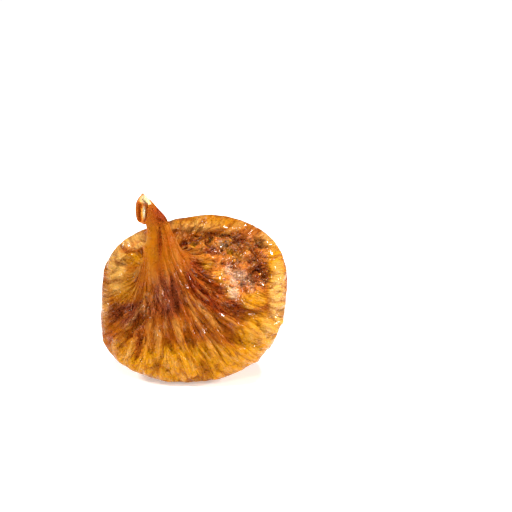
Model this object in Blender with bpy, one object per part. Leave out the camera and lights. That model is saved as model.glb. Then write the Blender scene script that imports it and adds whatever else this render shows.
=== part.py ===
# A whole dried fig. It sits on its pressed lower side with its broad, leaning front face
# towards -Y, its hooked neck at the upper left and a crumpled hollow at the upper right.
# Sizes are in millimetres until the last step, which brings the mesh to metres.

import math

import bmesh
import bpy
import numpy as np
from mathutils import noise

MM = 0.001

# Mesh: meridians run from the cut stalk round the fruit to the eye at its far end.
SEGMENTS = 136
RINGS = 40

# Shares of each meridian: cut face, neck, flare of the neck into the body, front face, back.
CUT_END = 0.051
FLARE_START = 0.16
FLARE_END = 0.32
RIM_AT = 0.61

# Rim, the edge of the front face: a closed loop in a plane that leans back.
# Its radii are taken every 30 degrees, from +X up and round to the left.
RIM_RADII = (24.9, 26.8, 24.9, 22.5, 22.6, 25.3, 24.6, 26.2, 23.4, 21.6, 22.3, 24.0)
RIM_LEAN = math.radians(20)
RIM_HEIGHT = 20.6

# Front face: how far it bulges past the rim, every 30 degrees, and the thick roll of the upper rim.
FRONT_BULGE = (7.6, 6.0, 4.8, 4.4, 4.6, 5.6, 7.6, 9.0, 9.8, 10.0, 9.8, 9.0)
FRONT_FULLNESS = 3.0
ROLL_HEIGHT = (1.2, 1.8, 1.8, 1.4, 1.3, 1.2, 0.4, 0.0, 0.0, 0.0, 0.0, 0.5)
ROLL_AT = 0.88
ROLL_WIDTH = 0.085
NECK_ROOT = (-8.2, 8.5)

# Back: a full bag that ends in the eye, and sags below it to a broad seat.
EYE = (1.0, 17.5, 10.5)
BACK_FULLNESS = (0.60, 0.64, 0.68, 0.70, 0.68, 0.64, 0.60, 0.50, 0.38, 0.33, 0.38, 0.50)
BACK_REACH = 0.85
SEAT_SAG = (0.0, 0.0, 0.0, 0.0, 0.0, 0.0, 0.0, 0.2, 1.3, 2.2, 1.5, 0.2)
EYE_LIP = (3.0, 0.6)
EYE_PIT = (1.7, 1.3)

# Dents in the back, where the dry skin has sunk: centre (X, Z), half sizes, depth.
DENTS = (
    ((-9.0, 29.0), (9.0, 6.0), 2.2),
    ((12.0, 20.0), (6.0, 9.0), 1.8),
)

# Neck, from the cut stalk down to its root: centre X, Y, Z, half width, half depth,
# the tip of its width towards the left (degrees) and its turn towards the front (degrees).
NECK = (
    (-13.1, -5.6, 46.8, 4.1, 2.4, 87, 45),
    (-11.9, -4.9, 45.8, 3.2, 2.3, 70, 28),
    (-10.8, -4.4, 44.7, 2.6, 2.3, 47, 14),
    (-9.9, -4.0, 43.5, 2.7, 2.3, 27, 6),
    (-9.3, -3.7, 42.0, 3.1, 2.5, 12, 2),
    (-9.0, -3.5, 39.4, 3.9, 3.0, 3, 0),
    (-8.7, -3.3, 36.2, 4.9, 3.6, 0, 0),
    (-8.5, -3.1, 32.4, 6.2, 4.3, 0, 0),
    (-8.3, -3.0, 28.8, 7.6, 5.0, 0, 0),
)
CUT_DISH = 1.3
CUT_RAGGED = 0.5

# The look direction that the forms below were set out in: level in X, 14 degrees down from level.
LOOK_DOWN = math.radians(14)

# Crumpled hollow at the upper right of the front face, with an arm along the upper rim and
# a small hole in its upper corner: centre (X, seen height), half sizes, depth.
HOLLOWS = (
    ((13.2, 28.6), (8.2, 10.0), 3.4),
    ((6.6, 35.4), (9.0, 2.9), 2.4),
)
HOLE = ((17.4, 34.6), (2.6, 2.1), 2.0)
EDGE_WAVES = ((5, 0.07), (9, 0.05), (14, 0.03))

# Folds set out by hand: path (X, seen height), half width, height. A negative height is a crease.
FOLDS = (
    (((-11.4, 35.0), (-14.6, 33.4), (-17.8, 32.3), (-21.0, 30.2), (-22.6, 27.0)), 1.4, 1.5),
    (((-12.2, 37.0), (-15.2, 35.6), (-18.4, 34.3), (-21.2, 32.6)), 1.3, -1.3),
    (
        ((-4.3, 34.5), (-2.4, 30.2), (-0.3, 27.0), (3.5, 22.2), (7.7, 18.0), (12.5, 14.2), (15.7, 11.8)),
        1.6,
        1.2,
    ),
    (((-2.7, 31.8), (0.8, 27.5), (4.0, 23.5), (7.7, 19.8), (11.4, 16.9), (15.2, 14.8)), 1.9, -2.0),
    (
        ((-0.3, 33.7), (2.9, 32.9), (5.6, 30.2), (7.4, 26.5), (10.1, 22.8), (13.3, 19.6), (16.8, 17.7)),
        1.7,
        1.6,
    ),
    (((-11.4, 17.2), (-14.1, 14.8), (-16.2, 12.6), (-17.0, 8.9)), 1.0, -2.2),
    (((-12.5, 13.7), (-14.4, 10.5), (-15.2, 6.8), (-15.7, 3.6)), 1.0, -1.8),
    (((-21.8, 8.7), (-20.2, 11.8), (-17.8, 14.5), (-15.2, 16.4)), 1.5, 1.3),
    (((-21.3, 12.1), (-19.4, 15.3), (-17.3, 17.7)), 1.4, -1.6),
    (((-13.6, 20.6), (-11.6, 18.0)), 2.6, -1.3),
    (((11.4, 27.6), (13.4, 25.0)), 2.2, 1.6),
    (((-8.4, 41.5), (-8.8, 37.0), (-9.2, 33.0), (-9.4, 29.0)), 1.2, -0.8),
    (((-9.6, 20.1), (-9.8, 15.3), (-9.3, 11.6)), 1.2, -1.1),
    (((-8.8, 14.2), (-6.6, 10.5), (-4.5, 7.6), (-3.2, 6.3)), 1.2, -1.1),
    (((-0.8, 20.1), (1.1, 16.4), (4.0, 13.4)), 1.2, -1.0),
)

# Ribs that run the length of the fruit: how many waves round it, and their height.
RIB_WAVES = 5.2
RIB_STRETCH = 2.2
RIB_SWAY = 0.16
RIB_HEIGHT = 1.0

# Crumpled floor of the hollow.
CRUMPLE_SIZE = 3.8
CRUMPLE_HEIGHT = 1.7

FLOOR_FILLET = 0.5


def ring_spline(values, turn):
    """Smooth closed curve through evenly spaced values, read at a share of a turn."""
    values = np.asarray(values, float)
    count = len(values)
    place = np.mod(turn, 1.0) * count
    first = np.floor(place).astype(int)
    share = place - first
    return catmull(*(values[(first + step) % count] for step in (-1, 0, 1, 2)), share)


def path_spline(rows, share):
    """Smooth open curve through evenly spaced rows, read at a share of its length."""
    rows = np.asarray(rows, float)
    rows = np.vstack([2 * rows[0] - rows[1], rows, 2 * rows[-1] - rows[-2]])
    place = np.clip(share, 0, 1) * (len(rows) - 3)
    first = np.minimum(np.floor(place).astype(int), len(rows) - 4)
    part = (place - first)[:, None]
    return catmull(*(rows[first + step] for step in (0, 1, 2, 3)), part)


def catmull(before, start, end, after, share):
    slope_in = (end - before) / 2
    slope_out = (after - start) / 2
    square, cube = share**2, share**3
    return (
        (2 * cube - 3 * square + 1) * start
        + (cube - 2 * square + share) * slope_in
        + (3 * square - 2 * cube) * end
        + (cube - square) * slope_out
    )


def smooth_step(low, high, value):
    share = np.clip((value - low) / (high - low), 0, 1)
    return share * share * (3 - 2 * share)


def neck_surface(angle, share):
    """Points round the neck's curved centre line, which hooks to the left at the stalk."""
    row = path_spline(NECK, share)
    tip, turn = np.radians(row[:, 5]), np.radians(row[:, 6])
    side = np.stack([np.cos(tip), np.zeros(len(row)), np.sin(tip)], axis=1)
    level = np.stack([-np.sin(tip), np.zeros(len(row)), np.cos(tip)], axis=1)
    straight = np.array([0.0, 1.0, 0.0])
    ahead = level * np.cos(turn)[:, None] - straight * np.sin(turn)[:, None]
    back = straight * np.cos(turn)[:, None] + level * np.sin(turn)[:, None]
    flute = 1 + 0.05 * np.cos(3 * angle + 0.9) + 0.04 * np.cos(5 * angle)
    across = (row[:, 3] * np.cos(angle) * flute)[:, None] * side
    deep = (row[:, 4] * np.sin(angle) * flute)[:, None] * back
    return row[:, :3] + across + deep, ahead


def cut_surface(angle, share):
    """The stalk's cut end: a shallow dish inside a lip."""
    edge, ahead = neck_surface(angle, np.zeros_like(angle))
    centre = np.asarray(NECK[0][:3], float)
    ragged = CUT_RAGGED * (np.cos(2 * angle - 0.6) + 0.6 * np.cos(5 * angle + 1) + 0.4 * np.cos(9 * angle))
    dish = CUT_DISH * (1 - share**3) - ragged * share**2 * (1 - share) * 4
    return centre + (edge - centre) * share[:, None] - ahead * dish[:, None]


def front_surface(angle, share):
    """The broad front face, from the neck's root out to the rim."""
    turn = angle / (2 * math.pi)
    grow = np.sin(share * math.pi / 2)
    radius = ring_spline(RIM_RADII, turn)
    across = NECK_ROOT[0] * (1 - grow) + radius * grow * np.cos(angle)
    up = NECK_ROOT[1] * (1 - grow) + radius * grow * np.sin(angle)
    from_middle = np.hypot(across, up) / ring_spline(RIM_RADII, np.arctan2(up, across) / (2 * math.pi))
    from_middle = np.minimum(from_middle, 1.0)
    bulge = ring_spline(FRONT_BULGE, turn) * np.sqrt(1 - from_middle**FRONT_FULLNESS)
    roll = ring_spline(ROLL_HEIGHT, turn) * np.exp(-(((grow - ROLL_AT) / ROLL_WIDTH) ** 2))
    roll *= np.sqrt(np.clip(1 - grow**8, 0, 1))
    return leaning(across, up, bulge + roll)


def leaning(across, up, forward):
    """Points set out in the rim's leaning plane, moved level towards the front."""
    return np.stack(
        [across, up * math.sin(RIM_LEAN) - forward, RIM_HEIGHT + up * math.cos(RIM_LEAN)], axis=1
    )


def back_surface(angle, share):
    """The back, from the rim round to the eye."""
    radius = ring_spline(RIM_RADII, angle / (2 * math.pi))
    rim = leaning(radius * np.cos(angle), radius * np.sin(angle), np.zeros_like(angle))
    eye = np.asarray(EYE)
    keep = np.cos(share * math.pi / 2) ** ring_spline(BACK_FULLNESS, angle / (2 * math.pi))
    reach = np.sin(share * math.pi / 2) ** BACK_REACH
    points = eye + (rim - eye) * keep[:, None]
    points[:, 1] = rim[:, 1] + (eye[1] - rim[:, 1]) * reach
    points[:, 2] -= ring_spline(SEAT_SAG, angle / (2 * math.pi)) * np.sin(share * math.pi)
    for centre, half, deep in DENTS:
        away = np.hypot((points[:, 0] - centre[0]) / half[0], (points[:, 2] - centre[1]) / half[1])
        points[:, 1] -= deep * np.exp(-(away**2)) * smooth_step(0.05, 0.4, share)
    return points


def smooth_fig(angle, along):
    """The fig without its hollow and folds."""
    neck, _ = neck_surface(angle, (along - CUT_END) / (FLARE_END - CUT_END))
    cut = cut_surface(angle, np.clip(along / CUT_END, 0, 1))
    front_share = np.clip((along - FLARE_START + 0.02) / (RIM_AT - FLARE_START + 0.02), 0, 1)
    front = front_surface(angle, front_share)
    back = back_surface(angle, np.clip((along - RIM_AT) / (1 - RIM_AT), 0, 1))
    flare = smooth_step(FLARE_START, FLARE_END, along)[:, None]
    points = neck * (1 - flare) + front * flare
    points = np.where((along < CUT_END)[:, None], cut, points)
    return np.where((along > RIM_AT)[:, None], back, points)


def seen(points):
    """X and height as seen from the look direction."""
    return points[:, 0], points[:, 1] * math.sin(LOOK_DOWN) + points[:, 2] * math.cos(LOOK_DOWN)


def distance_to_path(x, height, path):
    """Distance to a bent line, and how far along it the nearest point lies, from 0 to 1."""
    nearest = np.full(len(x), 1e9)
    where = np.zeros(len(x))
    legs = len(path) - 1
    for leg, (start, end) in enumerate(zip(path[:-1], path[1:])):
        dx, dh = end[0] - start[0], end[1] - start[1]
        share = np.clip(((x - start[0]) * dx + (height - start[1]) * dh) / (dx * dx + dh * dh), 0, 1)
        away = np.hypot(x - start[0] - share * dx, height - start[1] - share * dh)
        where = np.where(away < nearest, (leg + share) / legs, where)
        nearest = np.minimum(away, nearest)
    return nearest, where


def on_face(along):
    """1 on the front face and 0 on the neck and the rim, with soft ends."""
    face = smooth_step(FLARE_START + 0.03, FLARE_START + 0.1, along)
    return face * (1 - smooth_step(RIM_AT - 0.07, RIM_AT, along))


def hollow_reach(x, height, centre, half):
    """0 in the middle of a hollow and 1 at its wavy edge."""
    east, north = (x - centre[0]) / half[0], (height - centre[1]) / half[1]
    turn = np.arctan2(north, east)
    waves = 0
    for (count, size), start in zip(EDGE_WAVES, (1, centre[0], 0)):
        waves += size * np.sin(count * turn + start)
    return np.hypot(east, north) * (1 + waves)


def inside_hollow(points, along, inner, outer):
    """1 inside the hollow and 0 outside, fading between two reaches."""
    x, height = seen(points)
    inside = np.zeros(len(x))
    for centre, half, _ in HOLLOWS:
        inside = np.maximum(inside, 1 - smooth_step(inner, outer, hollow_reach(x, height, centre, half)))
    return inside * on_face(along)


def sink_hollows(points, along):
    """Pushes the crumpled hollow back from the front face."""
    x, height = seen(points)
    depth = np.zeros(len(x))
    for centre, half, deep in HOLLOWS:
        depth = np.maximum(depth, deep * (1 - smooth_step(0.5, 1.1, hollow_reach(x, height, centre, half))))
    centre, half, deep = HOLE
    depth += deep * (1 - smooth_step(0, 1.1, hollow_reach(x, height, centre, half)))
    sunk = points.copy()
    sunk[:, 1] += depth * on_face(along)
    return sunk


def fold_height(points, normals, along):
    """Height of the folds set out by hand, where the skin faces the look direction."""
    x, height = seen(points)
    facing = normals[:, 2] * math.sin(LOOK_DOWN) - normals[:, 1] * math.cos(LOOK_DOWN)
    shown = smooth_step(0, 0.35, facing) * smooth_step(CUT_END, CUT_END + 0.04, along)
    shown *= 1 - smooth_step(RIM_AT - 0.04, RIM_AT + 0.03, along)
    total = np.zeros(len(x))
    for path, half_width, tall in FOLDS:
        away, where = distance_to_path(x, height, path)
        taper = smooth_step(0, 0.2, where) * (1 - smooth_step(0.8, 1, where)) * 0.8 + 0.2
        total += tall * taper * np.exp(-((away / half_width) ** 2))
    return total * shown


def rib_height(points, angle, along):
    """Puffed ribs with creases between them, round the fruit and fading up the neck."""
    heights = np.empty(len(angle))
    for index, (point, turn, share) in enumerate(zip(points, angle, along)):
        turn += RIB_SWAY * noise.noise((point[0] / 9, point[1] / 9, point[2] / 9))
        spot = (RIB_WAVES * math.cos(turn), RIB_WAVES * math.sin(turn), RIB_STRETCH * share + 3.0)
        heights[index] = abs(noise.noise(spot)) * 2 - 0.4
    fade = smooth_step(FLARE_START - 0.04, FLARE_END + 0.14, along) * 0.9 + 0.1
    tucked = smooth_step(0.2, 0.8, np.sin(angle)) * (1 - smooth_step(FLARE_END, FLARE_END + 0.12, along))
    fade *= 1 - 0.8 * tucked
    fade *= 1 - 0.65 * np.exp(-(((along - RIM_AT) / 0.06) ** 2))
    fade *= 1 - 0.7 * inside_hollow(points, along, 0.7, 1.4)
    fade *= 1 - smooth_step(0.95, 1.0, along)
    return heights * fade * RIB_HEIGHT


def eye_height(points, along):
    """A puckered ring round the eye, at the far end from the stalk."""
    away = np.hypot(points[:, 0] - EYE[0], points[:, 2] - EYE[2])
    ring = EYE_LIP[1] * np.exp(-(((away - EYE_LIP[0]) / 1.3) ** 2))
    pit = EYE_PIT[1] * np.exp(-((away / EYE_PIT[0]) ** 2))
    return np.where(along > RIM_AT + 0.1, ring - pit, 0)


def crumple_height(points, along):
    """Puckered lumps on the floor of the hollow."""
    x, height = seen(points)
    inside = inside_hollow(points, along, 0.6, 1.0)
    lumps = np.zeros(len(x))
    for index in np.nonzero(inside)[0]:
        spot = (x[index] / CRUMPLE_SIZE, height[index] / CRUMPLE_SIZE, 7.0)
        lumps[index] = abs(noise.noise(spot)) * 2.4 - 0.6
    return lumps * inside * CRUMPLE_HEIGHT


def press_on_floor(points):
    """Flattens what would reach below the floor, with a small fillet round the flat."""
    low = points[:, 2]
    share = (np.clip(low, -FLOOR_FILLET, FLOOR_FILLET) + FLOOR_FILLET) / (2 * FLOOR_FILLET)
    points[:, 2] = np.where(low < FLOOR_FILLET, FLOOR_FILLET * share**2, low)
    return points


def make_fig():
    """The fig in one mesh, with the middle of its footprint at the origin."""
    shape = bmesh.new()
    bmesh.ops.create_uvsphere(shape, u_segments=SEGMENTS, v_segments=RINGS, radius=1)
    shape.normal_update()
    ball = np.array([vertex.co for vertex in shape.verts])
    along = np.arccos(np.clip(ball[:, 2], -1, 1)) / math.pi
    angle = np.arctan2(ball[:, 1], ball[:, 0])
    points = sink_hollows(smooth_fig(angle, along), along)
    place_vertices(shape, points)
    normals = np.array([vertex.normal for vertex in shape.verts])
    height = fold_height(points, normals, along) + crumple_height(points, along)
    height += rib_height(points, angle, along) + eye_height(points, along)
    points = press_on_floor(points + normals * height[:, None])
    points[:, :2] -= (points[:, :2].max(axis=0) + points[:, :2].min(axis=0)) / 2
    place_vertices(shape, points * MM)

    mesh = bpy.data.meshes.new("fig")
    shape.to_mesh(mesh)
    shape.free()
    mesh.shade_smooth()
    fig = bpy.data.objects.new("fig", mesh)
    return fig


def place_vertices(shape, points):
    for vertex, point in zip(shape.verts, points):
        vertex.co = point
    shape.normal_update()


def fig_skin():
    """Amber, slightly sticky skin."""
    material = bpy.data.materials.new("fig_skin")
    material.use_nodes = True
    surface = material.node_tree.nodes["Principled BSDF"]
    surface.inputs["Base Color"].default_value = (0.50, 0.19, 0.03, 1)
    surface.inputs["Roughness"].default_value = 0.42
    surface.inputs["Metallic"].default_value = 0.0
    return material


def main():
    for old in list(bpy.data.objects):
        bpy.data.objects.remove(old)
    collection = bpy.data.collections.new("dried_fig")
    bpy.context.scene.collection.children.link(collection)
    fig = make_fig()
    fig.data.materials.append(fig_skin())
    collection.objects.link(fig)


main()
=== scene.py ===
import math

import bpy
import numpy as np
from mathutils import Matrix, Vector, noise


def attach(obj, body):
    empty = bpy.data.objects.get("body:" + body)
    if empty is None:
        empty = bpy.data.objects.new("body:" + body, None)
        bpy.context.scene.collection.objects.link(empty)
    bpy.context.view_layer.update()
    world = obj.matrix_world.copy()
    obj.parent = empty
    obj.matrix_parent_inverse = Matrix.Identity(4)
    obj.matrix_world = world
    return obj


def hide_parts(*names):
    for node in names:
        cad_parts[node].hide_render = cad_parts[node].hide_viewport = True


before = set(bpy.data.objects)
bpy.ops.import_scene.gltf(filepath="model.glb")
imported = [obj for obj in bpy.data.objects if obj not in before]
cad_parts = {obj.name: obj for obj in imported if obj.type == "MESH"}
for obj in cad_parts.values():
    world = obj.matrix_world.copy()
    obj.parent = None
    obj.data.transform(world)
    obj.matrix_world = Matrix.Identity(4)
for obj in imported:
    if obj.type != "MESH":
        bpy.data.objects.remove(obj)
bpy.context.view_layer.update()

print("frame loaded")

mm = 0.001
lookDown = math.radians(14)  # the photo looks down on the fruit by this much
centreShift = (-0.384, -2.093)  # brings the middle of the footprint to the origin, in mm


# Small maths and node helpers

def easeStep(low, high, value):
    share = np.clip((value - low) / (high - low), 0, 1)
    return share * share * (3 - 2 * share)


def throughFour(before, start, end, after, share):  # smooth curve from start to end
    slopeIn, slopeOut = (end - before) / 2, (after - start) / 2
    square, cube = share**2, share**3
    return ((2 * cube - 3 * square + 1) * start + (cube - 2 * square + share) * slopeIn
            + (3 * square - 2 * cube) * end + (cube - square) * slopeOut)


def closedCurve(values, turn):
    values = np.asarray(values, float)
    place = np.mod(turn, 1.0) * len(values)
    first = np.floor(place).astype(int)
    four = [values[(first + step) % len(values)] for step in (-1, 0, 1, 2)]
    return throughFour(*four, place - first)


def openCurve(rows, share):
    rows = np.asarray(rows, float)
    rows = np.vstack([2 * rows[0] - rows[1], rows, 2 * rows[-1] - rows[-2]])
    place = np.clip(share, 0, 1) * (len(rows) - 3)
    first = np.minimum(np.floor(place).astype(int), len(rows) - 4)
    return throughFour(*(rows[first + step] for step in (0, 1, 2, 3)), (place - first)[:, None])


def rgb(red, green, blue):  # screen colour, 0 to 255, to the linear values that Blender takes
    linear = [(c / 255 / 12.92 if c < 11 else ((c / 255 + 0.055) / 1.055) ** 2.4) for c in (red, green, blue)]
    return (*linear, 1)


def feed(tree, socket, value):
    if isinstance(value, bpy.types.NodeSocket):
        tree.links.new(value, socket)
    else:
        socket.default_value = value


def add(tree, kind, feeds=None, **settings):
    made = tree.nodes.new(kind)
    for name, value in settings.items():
        setattr(made, name, value)
    for name, value in (feeds or {}).items():
        feed(tree, made.inputs[name], value)
    return made


def sums(tree, operation, first, second=0.0, third=None):
    feeds = {0: first, 1: second} if third is None else {0: first, 1: second, 2: third}
    return add(tree, "ShaderNodeMath", feeds, operation=operation).outputs[0]


def vectors(tree, operation, first, second=(0, 0, 0)):
    return add(tree, "ShaderNodeVectorMath", {0: first, 1: second}, operation=operation).outputs[0]


def scaled(tree, vector, size):
    return add(tree, "ShaderNodeVectorMath", {0: vector, "Scale": size}, operation="SCALE").outputs[0]


def ease(tree, value, low, high, lowOut=0.0, highOut=1.0):
    feeds = {0: value, 1: low, 2: high, 3: lowOut, 4: highOut}
    return add(tree, "ShaderNodeMapRange", feeds, interpolation_type="SMOOTHSTEP").outputs[0]


def times(tree, *values):
    total = values[0]
    for value in values[1:]:
        total = sums(tree, "MULTIPLY", total, value)
    return total


def cloud(tree, place, size=1.0, detail=2.0):  # soft noise, 0 to 1
    feeds = {"Vector": place, "Scale": size, "Detail": detail, "Roughness": 0.5}
    return add(tree, "ShaderNodeTexNoise", feeds)


def puffs(tree, place, detail=0.0):  # rounded swellings with sharp creases between them, 0 in a crease
    value = cloud(tree, place, 1.0, detail).outputs[0]
    return sums(tree, "ABSOLUTE", sums(tree, "MULTIPLY_ADD", value, 2.0, -1.0))


def tint(tree, share, first, second, blend="MIX"):
    made = add(tree, "ShaderNodeMix", data_type="RGBA", blend_type=blend, clamp_factor=True)
    for socket, value in ((0, share), (6, first), (7, second)):
        feed(tree, made.inputs[socket], value)
    return made.outputs[2]


def newTree(name, kind, ins, outs):
    tree = bpy.data.node_groups.new(name, kind)
    for label, socket, value in ins:
        made = tree.interface.new_socket(label, in_out="INPUT", socket_type=socket)
        if value is not None:
            made.default_value = value
    for label, socket in outs:
        tree.interface.new_socket(label, in_out="OUTPUT", socket_type=socket)
    return tree, tree.nodes.new("NodeGroupInput").outputs, tree.nodes.new("NodeGroupOutput").inputs


def kept(tree, name, kind="FLOAT"):  # a value that the mesh carries, in Geometry Nodes
    return add(tree, "GeometryNodeInputNamedAttribute", {"Name": name}, data_type=kind).outputs["Attribute"]


def closeTree(tree, out, geometry, material):
    real = add(tree, "GeometryNodeRealizeInstances", {"Geometry": geometry}).outputs[0]
    dressed = add(tree, "GeometryNodeSetMaterial", {"Geometry": real, "Material": material})
    feed(tree, out[0], dressed.outputs[0])


def setSockets(surface, values):
    for name, value in values.items():
        surface.inputs[name].default_value = value


# The form of the fruit, in mm, as the solid has it

figForm = {
    "around": 420, "along": 230,  # mesh columns and rows
    "rowShares": (0, 0.06, 0.30, 0.72, 1),  # rows up to the cut's lip, the neck's root, the rim and the eye
    "cutEnd": 0.051, "flareStart": 0.16, "flareEnd": 0.32, "rimAt": 0.61,
    "rimRadii": (24.9, 26.8, 24.9, 22.5, 22.6, 25.3, 24.6, 26.2, 23.4, 21.6, 22.3, 24.0),
    "rimLean": 20, "rimHeight": 20.6,
    "frontBulge": (7.6, 6.0, 4.8, 4.4, 4.6, 5.6, 7.6, 9.0, 9.8, 10.0, 9.8, 9.0),
    "frontFullness": 3.0,
    "rollHeight": (1.2, 1.8, 1.8, 1.4, 1.3, 1.2, 0.4, 0.0, 0.0, 0.0, 0.0, 0.5),
    "rollAt": 0.88, "rollWidth": 0.085,
    "neckRoot": (-8.2, 8.5),
    "eye": (1.0, 17.5, 10.5),
    "backFullness": (0.60, 0.64, 0.68, 0.70, 0.68, 0.64, 0.60, 0.50, 0.38, 0.33, 0.38, 0.50),
    "backReach": 0.85,
    "seatSag": (0.0, 0.0, 0.0, 0.0, 0.0, 0.0, 0.0, 0.2, 1.3, 2.2, 1.5, 0.2),
    "eyeLip": (3.0, 0.6, 1.3), "eyePit": (1.7, 1.3), "eyeDark": 1.6,  # reach, height and width of the lip
    "dents": (((-9.0, 29.0), (9.0, 6.0), 2.2), ((12.0, 20.0), (6.0, 9.0), 1.8)),
    "neck": (  # centre x, y, z, half width, half depth, tip to the left, turn to the front
        (-13.1, -5.6, 46.8, 4.1, 2.4, 87, 45),
        (-11.9, -4.9, 45.8, 3.2, 2.3, 70, 28),
        (-10.8, -4.4, 44.7, 2.6, 2.3, 47, 14),
        (-9.9, -4.0, 43.5, 2.7, 2.3, 27, 6),
        (-9.3, -3.7, 42.0, 3.1, 2.5, 12, 2),
        (-9.0, -3.5, 39.4, 3.9, 3.0, 3, 0),
        (-8.7, -3.3, 36.2, 4.9, 3.6, 0, 0),
        (-8.5, -3.1, 32.4, 6.2, 4.3, 0, 0),
        (-8.3, -3.0, 28.8, 7.6, 5.0, 0, 0),
    ),
    "neckFlutes": ((3, 0.9, 0.05), (5, 0.0, 0.04)),  # number round the neck, start, height
    "cutDish": 1.3, "cutRagged": 0.5, "cutWaves": ((2, -0.6, 1.0), (5, 1.0, 0.6), (9, 0.0, 0.4)),
    "cutForms": (  # strip, flap, lip and groove of the cut end: centre, half sizes, height
        ((-12.6, 43.2), (0.7, 2.4), 1.0), ((-12.5, 46.9), (1.3, 0.9), 1.5),
        ((-14.5, 43.0), (0.7, 3.6), 0.9), ((-13.4, 42.8), (0.45, 3.0), -0.7),
    ),
    "hollows": (  # centre, half sizes, depth
        ((13.2, 28.6), (8.2, 10.0), 3.4),
        ((6.6, 35.4), (9.0, 2.9), 2.4),
    ),
    "hole": ((17.4, 34.6), (2.6, 2.1), 2.0),
    "edgeWaves": ((5, 0.07), (9, 0.05), (14, 0.03)),  # number round a hollow's edge, size
    "ribWaves": 5.2, "ribStretch": 2.2, "ribSway": 0.16, "ribHeight": 1.0,
    "crumpleSize": 3.8, "crumpleHeight": 1.7,
    "edgeWidth": 0.6, "edgeFade": 0.6,  # the pleats are lower at the outline, which is smooth in the photo
    "floorFillet": 0.5,
}

# Folds: path of (x, height as the photo sees it), half width, height, where a crease is negative
figFolds = (
    (((-11.4, 35.0), (-14.6, 33.4), (-17.8, 32.3), (-21.0, 30.2), (-22.6, 27.0)), 1.4, 1.5),
    (((-12.2, 37.0), (-15.2, 35.6), (-18.4, 34.3), (-21.2, 32.6)), 1.3, -1.3),
    (((-4.3, 34.5), (-2.4, 30.2), (-0.3, 27.0), (3.5, 22.2), (7.7, 18.0), (12.5, 14.2), (15.7, 11.8)),
     1.6, 1.2),
    (((-2.7, 31.8), (0.8, 27.5), (4.0, 23.5), (7.7, 19.8), (11.4, 16.9), (15.2, 14.8)), 1.9, -2.0),
    (((-0.3, 33.7), (2.9, 32.9), (5.6, 30.2), (7.4, 26.5), (10.1, 22.8), (13.3, 19.6), (16.8, 17.7)),
     1.7, 1.6),
    (((-11.4, 17.2), (-14.1, 14.8), (-16.2, 12.6), (-17.0, 8.9)), 1.0, -2.2),
    (((-12.5, 13.7), (-14.4, 10.5), (-15.2, 6.8), (-15.7, 3.6)), 1.0, -1.8),
    (((-21.8, 8.7), (-20.2, 11.8), (-17.8, 14.5), (-15.2, 16.4)), 1.5, 1.3),
    (((-21.3, 12.1), (-19.4, 15.3), (-17.3, 17.7)), 1.4, -1.6),
    (((-13.6, 20.6), (-11.6, 18.0)), 2.6, -1.3),
    (((11.4, 27.6), (13.4, 25.0)), 2.2, 1.6),
    (((-8.4, 41.5), (-8.8, 37.0), (-9.2, 33.0), (-9.4, 29.0)), 1.2, -0.8),
    (((-9.6, 20.1), (-9.8, 15.3), (-9.3, 11.6)), 1.2, -1.1),
    (((-8.8, 14.2), (-6.6, 10.5), (-4.5, 7.6), (-3.2, 6.3)), 1.2, -1.1),
    (((-0.8, 20.1), (1.1, 16.4), (4.0, 13.4)), 1.2, -1.0),
    (((-18.2, 8.6), (-17.9, 5.2)), 0.7, -0.9),
    (((-12.3, 12.6), (-12.0, 9.1), (-11.1, 6.0)), 0.8, -1.1),
    (((-13.8, 10.6), (-13.6, 6.5), (-13.9, 3.6)), 0.7, -1.0),
    (((-7.1, 4.8), (-6.1, 1.0)), 0.8, -0.9),
    (((-2.2, 13.2), (-0.6, 9.2)), 0.8, -0.8),
    (((-8.3, 39.8), (-8.4, 36.0), (-8.6, 32.0), (-8.8, 29.5)), 0.4, -0.5),
    (((-2.5, 35.1), (-1.8, 34.8)), 0.7, -0.5),
)


def waves(rows, angle):
    return sum(size * np.cos(count * angle + start) for count, start, size in rows)


def neckSkin(angle, share):  # points round the neck, which hooks to the left at the stalk
    row = openCurve(figForm["neck"], share)
    tip, turn = np.radians(row[:, 5]), np.radians(row[:, 6])
    flat = np.zeros(len(row))
    side = np.stack([np.cos(tip), flat, np.sin(tip)], axis=1)
    level = np.stack([-np.sin(tip), flat, np.cos(tip)], axis=1)
    straight = np.array([0.0, 1.0, 0.0])
    ahead = level * np.cos(turn)[:, None] - straight * np.sin(turn)[:, None]
    back = straight * np.cos(turn)[:, None] + level * np.sin(turn)[:, None]
    flute = 1 + waves(figForm["neckFlutes"], angle)
    across = (row[:, 3] * np.cos(angle) * flute)[:, None] * side
    return row[:, :3] + across + (row[:, 4] * np.sin(angle) * flute)[:, None] * back, ahead


def cutSkin(angle, share):  # the stalk's cut end, a shallow dish in a ragged lip
    edge, ahead = neckSkin(angle, np.zeros_like(angle))
    centre = np.asarray(figForm["neck"][0][:3], float)
    ragged = figForm["cutRagged"] * waves(figForm["cutWaves"], angle)
    dish = figForm["cutDish"] * (1 - share**3) - ragged * share**2 * (1 - share) * 4
    return centre + (edge - centre) * share[:, None] - ahead * dish[:, None]


def leaning(across, up, forward):
    lean = math.radians(figForm["rimLean"])
    height = figForm["rimHeight"] + up * math.cos(lean)
    return np.stack([across, up * math.sin(lean) - forward, height], axis=1)


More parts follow.
